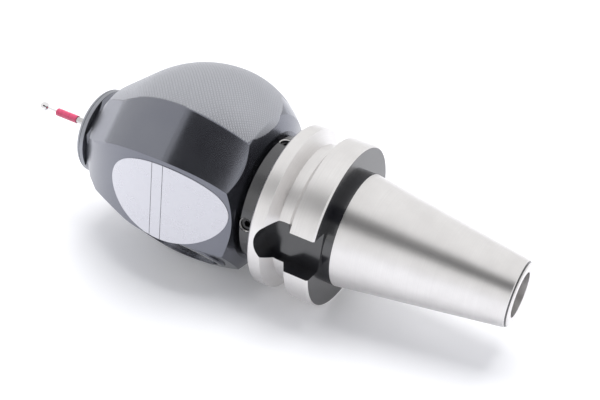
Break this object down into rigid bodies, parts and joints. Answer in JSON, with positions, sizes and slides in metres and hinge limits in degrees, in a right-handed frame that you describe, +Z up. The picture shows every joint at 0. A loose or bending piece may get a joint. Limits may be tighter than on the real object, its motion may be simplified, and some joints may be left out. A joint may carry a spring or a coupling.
{
  "type": "edge finder",
  "caption": "Dial edge finder with a tapered tool-holder shank, faceted knurled housing and sprung ball stylus.",
  "frame": {"origin": "on the bench, under the middle of the part as it lies on one facet of the housing and the rim of the flange", "axes": "+X towards the small end of the taper, -X towards the stylus ball, +Z up"},
  "size_m": [0.2108, 0.0765, 0.0763],
  "materials": {
    "ground_steel": "fine ground and turned",
    "anodised_body": "fine blasted, black anodised",
    "ring_black": "turned, black anodised",
    "black_steel": "black oxide",
    "label": "satin foil, unprinted but for two thin lines",
    "clear_glass": "polished",
    "soft_rubber": "matte",
    "dial_white": "matte printed",
    "hand_red": "satin lacquer",
    "movement_brass": "fine turned",
    "bright_steel": "polished",
    "sleeve_pink": "smooth",
    "ball_steel": "mirror polished"
  },
  "bodies": {
    "holder": {"taper_shank": "ground_steel", "centring_screws": "black_steel", "clamp_screw": "black_steel", "clamp_washer": "black_steel", "housing": "anodised_body", "label_plate": "label", "bezel": "ring_black", "dial_glass": "clear_glass", "glass_gasket": "soft_rubber", "dial_plate": "dial_white", "dial_spacer": "movement_brass", "front_plate": "movement_brass", "rear_plate": "movement_brass", "plate_pillars": "movement_brass", "hairspring": "bright_steel", "guide_bush": "movement_brass", "return_spring": "bright_steel", "nose_ring": "ring_black", "nose_boot": "soft_rubber", "boot_clip": "black_steel"},
    "push_sleeve": {"guide_sleeve": "bright_steel", "plunger": "bright_steel", "rack_arm": "bright_steel", "arm_nut": "bright_steel"},
    "gimbal": {"gimbal_ring": "bright_steel", "gimbal_pins": "bright_steel"},
    "stylus": {"stylus_holder": "bright_steel", "stylus_stud": "bright_steel", "break_sleeve": "sleeve_pink", "ball_tip": "ball_steel"},
    "centre_hand": {"centre_arbor": "bright_steel", "main_hand": "hand_red"},
    "counter_hand": {"rack_arbor": "bright_steel", "rack_wheel": "movement_brass", "small_hand": "hand_red"},
    "take_up": {"take_up_arbor": "bright_steel", "take_up_wheel": "movement_brass"}
  },
  "joints": [
    {"name": "stylus_push", "type": "slide", "parent": "holder", "child": "push_sleeve", "axis": [0.9987, 0, -0.0501], "range_m": [0, 0.004], "stiffness_N_per_m": 900, "springref_m": -0.002, "deforming": ["return_spring", "nose_boot"]},
    {"name": "stylus_swing", "type": "hinge", "parent": "push_sleeve", "child": "gimbal", "pos_m": [-0.05891, -0.00354, 0.03627], "axis": [0.0354, -0.7071, 0.7062], "range_deg": [-6, 6], "stiffness_Nm_per_rad": 0.6},
    {"name": "stylus_nod", "type": "hinge", "parent": "gimbal", "child": "stylus", "pos_m": [-0.05891, -0.00354, 0.03627], "axis": [-0.0354, -0.7071, -0.7062], "range_deg": [-6, 6], "stiffness_Nm_per_rad": 0.6},
    {"name": "main_hand_turn", "type": "hinge", "parent": "holder", "child": "centre_hand", "pos_m": [-0.01846, -0.00354, 0.03424], "axis": [-0.0354, -0.7071, -0.7062], "range_deg": [-1446, 6]},
    {"name": "counter_hand_turn", "type": "hinge", "parent": "holder", "child": "counter_hand", "pos_m": [-0.02513, -0.00581, 0.03684], "axis": [-0.0354, -0.7071, -0.7062], "range_deg": [-1, 241]},
    {"name": "take_up_turn", "type": "hinge", "parent": "holder", "child": "take_up", "pos_m": [-0.0118, -0.00128, 0.03164], "axis": [-0.0354, -0.7071, -0.7062], "range_deg": [-1, 241]}
  ],
  "couplings": [
    {"joint": "main_hand_turn", "follows": "stylus_push", "rad_per_m": -6283.2},
    {"joint": "counter_hand_turn", "follows": "stylus_push", "rad_per_m": 1047.2},
    {"joint": "take_up_turn", "follows": "stylus_push", "rad_per_m": 1047.2}
  ]
}
